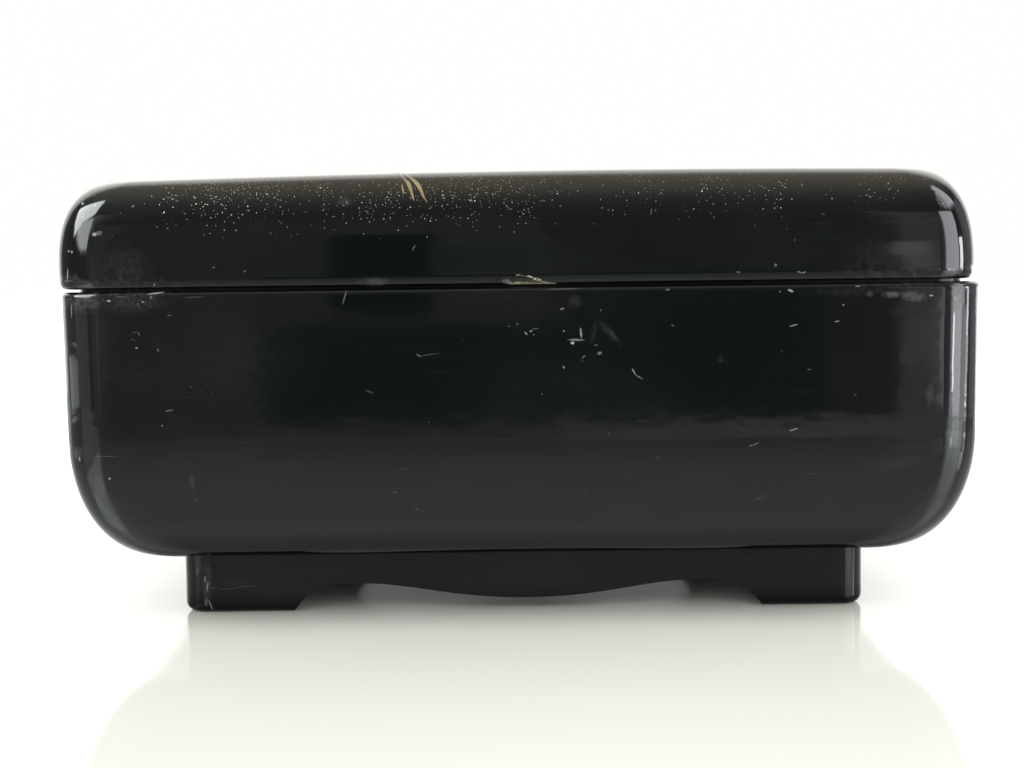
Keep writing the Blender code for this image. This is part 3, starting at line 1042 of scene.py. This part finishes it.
# Cards in front, each a little nearer than the last: from and to across, low and high, colour
SOFT_CARDS = {"dark_card_low": 0.025, "dark_card_low_right": 0.025, "dark_card_high": 0.08}
FRONT_CARDS = (
    ("grey_card_wide", -0.60, 0.60, 0, 0.30, (0.235, 0.270, 0.250)),
    ("grey_card_left", -0.30, -0.195, 0, 0.30, (0.40, 0.42, 0.41)),
    ("grey_card_low_left", -0.20, 0.02, 0, 0.009, (0.28, 0.30, 0.29)),
    ("grey_card_low_middle", 0.02, 0.10, 0, 0.009, (0.50, 0.51, 0.50)),
    ("grey_card_low_right", 0.10, 0.30, 0, 0.009, (0.65, 0.66, 0.65)),
    ("dim_card_right", 0.012, 0.180, 0.009, 0.30, (0.150, 0.185, 0.170)),
    ("dark_card_low", -0.1260, 0.147, 0.008, 0.057, (0.075, 0.125, 0.130)),
    ("dark_card_low_right", 0.025, 0.147, 0.050, 0.075, (0.075, 0.125, 0.130)),
    ("dark_card_high", -0.0885, -0.037, 0.056, 0.195, (0.040, 0.085, 0.097)),
    ("pale_card_middle", -0.036, 0.012, 0.082, 0.134, (0.160, 0.240, 0.200)),
    ("pale_card_right", 0.180, 0.30, 0.009, 0.30, (0.55, 0.56, 0.55)),
    ("pale_card_right_low", 0.180, 0.1976, 0.0346, 0.0585, (0.71, 0.73, 0.72)),
    ("pale_card_right_middle", 0.180, 0.1990, 0.075, 0.0985, (0.90, 0.91, 0.91)),
    ("bright_card_right_high", 0.175, 0.1935, 0.0985, 0.131, (1.30, 1.30, 1.30)),
    ("bright_card_right_line", 0.2005, 0.209, 0.0135, 0.070, (2.40, 2.42, 2.46)),
    ("grey_card_right_gap", 0.211, 0.240, 0.009, 0.30, (0.39, 0.40, 0.40)),
)

COOL_WHITE = (0.97, 1.0, 1.05)
GREEN_WHITE = (0.93, 1.0, 0.98)


def spread(azimuth_from, azimuth_to, low, high):
    """Gives the four corners of an upright card as azimuths and elevations."""
    return (azimuth_from, low), (azimuth_to, low), (azimuth_to, high), (azimuth_from, high)


# Cards that a front corner mirrors: side, distance, strength, softness, and where their corners lie
CORNER_CARDS = (
    ("right_wide", 1, 0.40, 5.8, 0, spread(28, 66, -2.6, 32)),
    ("right_wide_edge", 1, 0.40, 3.0, 0, spread(24, 28, -2.6, 32)),
    ("right_slim", 1, 0.40, 15.0, 0, spread(70, 81, -1.5, 10.5)),
    ("right_beside", 1, 0.42, 0.7, 0, spread(85, 115, -3, 33)),
    ("right_under_a", 1, 0.41, 3.4, 0, spread(26, 37, -10.8, -2.6)),
    ("right_under_b", 1, 0.40, 6.0, 0, spread(33, 38, -3.7, -2.6)),
    ("right_under_line", 1, 0.40, 21.0, 0, spread(33.5, 37.5, -9.0, -3.7)),
    ("right_under_c", 1, 0.41, 7.4, 0, spread(37, 58, -10.8, -2.6)),
    ("right_under_d", 1, 0.42, 3.5, 0, spread(56, 83, -10.7, -3.0)),
    ("right_streak_high", 1, 0.40, 12.0, 0, spread(76, 82, -5.1, -1.8)),
    ("right_streak", 1, 0.40, 6.5, 0, spread(76, 82, -8.8, -5.1)),
    ("right_streak_low", 1, 0.40, 14.0, 0, spread(75, 83, -9.9, -8.8)),
    ("right_behind", 1, 0.42, 0.8, 0, spread(92, 115, -10, -3)),
    ("right_high_a", 1, 0.40, 5.5, 0.15, spread(60, 99, 29, 63)),
    ("right_high_b", 1, 0.41, 3.5, 0.15, spread(47, 74, 32, 57)),
    ("right_high_c", 1, 0.42, 1.8, 0.25, ((34, 33), (56, 33), (56, 52), (34, 50))),
    ("left_high", -1, 0.40, 12.0, 0.07, ((27, 45), (72, 17), (108, 40), (42, 68))),
    ("left_middle", -1, 0.42, 6.6, 0.18, ((14, 44), (24, 4), (50, 3), (84, 26))),
    ("left_faint", -1, 0.37, 1.0, 0.35, spread(13, 30, 12, 48)),
    ("left_low", -1, 0.40, 0.7, 0, spread(37, 75, -9.6, -1.5)),
    ("left_outer", -1, 0.40, 0.3, 0, spread(75, 110, -5.0, -1.5)),
    ("left_outer_low", -1, 0.40, 1.7, 0, spread(75, 110, -9.7, -5.0)),
    ("left_low_line", -1, 0.36, 0.7, 0, spread(14.3, 16.2, -10, 8)),
    ("left_behind", -1, 0.40, 1.0, 0.20, spread(110, 160, -11, -6.7)),
)

FLOOR_HALF = 3.0
FLOOR_THICKNESS = 0.02
FLOOR_EDGE = 0.004
FLOOR_DARK = (0.85, 0.865, 0.80, 1)
FLOOR_LIGHT = (0.89, 0.905, 0.84, 1)
FLOOR_GLOW_TINT = (0.93, 1.0, 0.96, 1)
BLACK = (0, 0, 0, 1)

# How bright the floor beside the box looks in reflections: far left, near left and right
BESIDE_FAR_LEFT = 0.8
BESIDE_LEFT = 1.7
BESIDE_RIGHT = 2.4

# How bright the floor before each face looks in reflections, by its distance from the middle of the box
FLOOR_GLOW = (
    (0.096, 0.20), (0.104, 0.28), (0.112, 0.46), (0.120, 0.68), (0.149, 0.70), (0.199, 0.66),
    (0.250, 0.55), (0.278, 0.50), (0.340, 0.42), (0.430, 0.34), (0.480, 0.32),
)


def make_floor():
    """Floor: wide, pale and glossy. Reflections see it black with a painted glow in place of its lighting,
    and painted shade before each face.
    """
    floor = add_block("floor", FLOOR_HALF, -FLOOR_THICKNESS, 0)
    pick(floor, "edges", lambda edge: min(v.co.z for v in edge.verts) > -0.001)
    bpy.ops.mesh.bevel(offset=FLOOR_EDGE, segments=3, affect="EDGES")
    bpy.ops.object.mode_set(mode="OBJECT")
    material, tree, shader, point = new_material("pale_floor")
    material.cycles.emission_sampling = "NONE"
    shader.inputs["IOR"].default_value = 1.5
    # Painted glow: glossy rays see the floor black and glowing, brighter beside the box and dimmer before
    # each face as painted shade
    mirrored = node(tree, "LightPath").outputs["Is Glossy Ray"]
    cloud = noise(tree, point, 9, 3)
    colour = mix_colour(tree, cloud, FLOOR_DARK, FLOOR_LIGHT)
    colour = mix_colour(tree, mirrored, colour, BLACK)
    haze = noise(tree, point, 60, 4, 0.6)

    places = node(tree, "SeparateXYZ", {0: point})
    across = maths(tree, "ABSOLUTE", places.outputs["X"])
    along = maths(tree, "ABSOLUTE", places.outputs["Y"])
    far = maths(tree, "MAXIMUM", across, along)
    near = maths(tree, "MINIMUM", across, along)
    first, last = FLOOR_GLOW[0][0], FLOOR_GLOW[-1][0]
    shade_out = node(tree, "ValToRGB", {0: node(tree, "MapRange", {0: far, 1: first, 2: last}).outputs[0]})
    ramp = shade_out.color_ramp
    for place, level in FLOOR_GLOW[1:-1]:
        ramp.elements.new((place - first) / (last - first)).color = (level, level, level, 1)
    for element, (_, level) in ((ramp.elements[0], FLOOR_GLOW[0]), (ramp.elements[-1], FLOOR_GLOW[-1])):
        element.color = (level, level, level, 1)
    side_edge = plus(tree, times(tree, far, 0.39), 0.0556)
    beside = ramp_up(tree, maths(tree, "SUBTRACT", near, side_edge), -0.003, 0.024)
    lit_left = mix_value(tree, ramp_up(tree, places.outputs["X"], -0.22, -0.20), BESIDE_FAR_LEFT, BESIDE_LEFT)
    lit_side = mix_value(tree, ramp_up(tree, places.outputs["X"], 0.15, 0.30), lit_left, BESIDE_RIGHT)
    glow = mix_value(tree, beside, shade_out.outputs[0], lit_side)

    feed(tree, shader, colour, plus(tree, times(tree, haze, 0.05), 0.04))
    shader.inputs["Emission Color"].default_value = FLOOR_GLOW_TINT
    tree.links.new(times(tree, mirrored, glow), shader.inputs["Emission Strength"])
    floor.data.materials.append(material)


def glow_material(name, colour, strength, softness):
    """Makes a glow that fades out over a share of the card's width along each edge."""
    material = bpy.data.materials.new(name)
    material.use_nodes = True
    material.cycles.emission_sampling = "NONE"
    tree = material.node_tree
    tree.nodes.clear()
    glow = node(tree, "Emission", {"Color": (*colour, 1), "Strength": strength})
    surface = glow.outputs[0]
    if softness:
        places = node(tree, "SeparateXYZ", {0: node(tree, "TexCoord").outputs["UV"]})
        shares = []
        for place in (places.outputs["X"], places.outputs["Y"]):
            from_middle = maths(tree, "ABSOLUTE", maths(tree, "SUBTRACT", place, 0.5))
            shares.append(ramp_up(tree, from_middle, 0.5, 0.5 - softness))
        share = times(tree, *shares)
        tree.links.new(times(tree, share, strength), glow.inputs["Strength"])
        clear = node(tree, "BsdfTransparent")
        surface = node(tree, "MixShader", {0: share, 1: clear.outputs[0], 2: surface}).outputs[0]
    out = node(tree, "OutputMaterial")
    tree.links.new(surface, out.inputs["Surface"])
    return material


def hang_card(name, corners, colour, strength=1.0, softness=0.0):
    """Hangs a four-cornered glowing card that only reflections see."""
    start_fresh()
    bpy.ops.mesh.primitive_plane_add(size=2, location=(0, 0, 0))
    card = bpy.context.object
    card.name = name
    bpy.ops.object.mode_set(mode="EDIT")
    for (across, along), place in zip(((-1, -1), (1, -1), (1, 1), (-1, 1)), corners):
        start = Vector((across, along, 0))
        pick(card, "verts", lambda vert: (vert.co - start).length < 0.001)
        bpy.ops.transform.translate(value=Vector(place) - start)
    bpy.ops.object.mode_set(mode="OBJECT")
    card.data.materials.append(glow_material(name, colour, strength, softness))
    card.visible_camera = False
    card.visible_diffuse = False
    card.visible_transmission = False
    card.visible_volume_scatter = False
    card.visible_shadow = False


def front_cards():
    """Hangs the cards that the flat front mirrors."""
    for order, (name, left, right, low_z, high_z, colour) in enumerate(FRONT_CARDS):
        y = CARD_Y + order * CARD_STEP
        corners = ((left, y, low_z), (right, y, low_z), (right, y, high_z), (left, y, high_z))
        hang_card(name, corners, colour, softness=SOFT_CARDS.get(name, 0.0))


def corner_cards():
    """Hangs the bright cards that the rounded front corners mirror."""
    for name, side, distance, strength, softness, directions in CORNER_CARDS:
        corners = []
        for azimuth, elevation in directions:
            across = side * (CORNER_PLACE + distance * math.sin(math.radians(azimuth)))
            along = -CORNER_PLACE - distance * math.cos(math.radians(azimuth))
            up = CORNER_HEIGHT + distance * math.tan(math.radians(elevation))
            corners.append((across, along, max(up, CARD_FOOT)))
        hang_card(name, corners, COOL_WHITE if side > 0 else GREEN_WHITE, strength, softness)


# Light that falls on things: from low all round, from the sides, and from above in front and behind
LOW_LIGHT = 1.35
SIDE_LIGHT = 2.2
TOP_FRONT_LIGHT = 2.2
TOP_BACK_LIGHT = 0.65
LIGHT_TINT = (1.0, 1.0, 0.98, 1)

# What gloss mirrors: grey all round, paler above, and pale behind
GREY_ROUND = 0.22
GREY_ABOVE = 0.38
PALE_BEHIND = 1.8
GREY_TINT = (0.94, 1.0, 0.96, 1)
SEEN_WHITE = (1.0, 1.0, 0.985, 1)


def make_world():
    """World: white to the eye, soft light all round, and grey with a pale top and back to reflections."""
    world = bpy.data.worlds.new("soft_white")
    world.use_nodes = True
    tree = world.node_tree
    tree.nodes.clear()
    direction = node(tree, "SeparateXYZ", {0: node(tree, "TexCoord").outputs["Generated"]})
    up = direction.outputs["Z"]
    white = node(tree, "Background", {"Color": SEEN_WHITE, "Strength": 1.0})

    beside = ramp_up(tree, maths(tree, "ABSOLUTE", direction.outputs["X"]), 0.6, 0.9)
    low_light = mix_value(tree, beside, LOW_LIGHT, SIDE_LIGHT)
    behind = ramp_up(tree, direction.outputs["Y"], -0.2, 0.2)
    top_light = mix_value(tree, behind, TOP_FRONT_LIGHT, TOP_BACK_LIGHT)
    light = mix_value(tree, ramp_up(tree, up, 0.42, 0.75), low_light, top_light)
    lit = node(tree, "Background", {"Color": LIGHT_TINT, "Strength": light})

    top = times(tree, ramp_up(tree, up, 0.55, 1.0), GREY_ABOVE)
    soft = plus(tree, top, GREY_ROUND)
    back = ramp_up(tree, direction.outputs["Y"], 0.42, 0.66)
    soft = mix_value(tree, back, soft, PALE_BEHIND)
    tint = mix_colour(tree, back, GREY_TINT, LIGHT_TINT)
    dim = node(tree, "Background", {"Color": tint, "Strength": soft})

    path = node(tree, "LightPath")
    unseen = node(tree, "MixShader", {0: path.outputs["Is Glossy Ray"]})
    tree.links.new(lit.outputs[0], unseen.inputs[1])
    tree.links.new(dim.outputs[0], unseen.inputs[2])
    chosen = node(tree, "MixShader", {0: path.outputs["Is Camera Ray"]})
    tree.links.new(unseen.outputs[0], chosen.inputs[1])
    tree.links.new(white.outputs[0], chosen.inputs[2])
    out = node(tree, "OutputWorld")
    tree.links.new(chosen.outputs[0], out.inputs["Surface"])
    bpy.context.scene.world = world
    bpy.context.scene.view_settings.view_transform = "Standard"


def make_camera():
    """Camera: straight on, a little above the seam, turned very slightly clockwise."""
    data = bpy.data.cameras.new("camera")
    data.lens = CAMERA_LENS
    data.sensor_width = 36
    camera = bpy.data.objects.new("camera", data)
    camera.location = CAMERA_PLACE
    camera.rotation_mode = "QUATERNION"
    pitch = math.radians(CAMERA_PITCH)
    forward = Vector((0, math.cos(pitch), -math.sin(pitch)))
    camera.rotation_quaternion = forward.to_track_quat("-Z", "Y") @ Quaternion((0, 0, 1), CAMERA_ROLL)
    bpy.context.scene.collection.objects.link(camera)
    bpy.context.scene.camera = camera


# The whole scene

body_finish = lacquer("body_black", 0.07, 1.5, rim_z, -body_half, BODY_MARKS, BODY_SMUDGES)
lid_finish = lacquer("lid_black_and_gold", 0.07, 1.5, lid_edge_z, -lid_half, LID_MARKS, LID_SMUDGES)
add_gold(lid_finish)
add_chip_edges(lid_finish)
# The foot's worn edge is its bottom one: paler low down, partly wear and partly painted light
foot_finish = lacquer("foot_black", 0.11, 1.33, 0, -foot_half, FOOT_MARKS, FOOT_SMUDGES)
hollow_finish = inner_lacquer("hollow_black")
ground = bare_ground("bare_ground")
gold = gold_powder("gold_powder")

body = make_body(body_finish, hollow_finish)
lid = make_lid(lid_finish, hollow_finish)
for name, across, over, size, seed in CHIPS:
    chip(lid, name, (across, -lid_half + CHIP_SINK, lid_edge_z + over), size, seed, ground)
shade(lid)
foot = make_foot(foot_finish)
blades = make_blades(lid, gold)

for piece, cad_node, slot in (
    (body, "box_body", "body_lacquer"),
    (lid, "lid", "lid_lacquer"),
    (foot, "foot_frame", "foot_lacquer"),
):
    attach(piece, "root")
    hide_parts(cad_node)
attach(blades, "root")

make_floor()
front_cards()
corner_cards()
make_world()
make_camera()
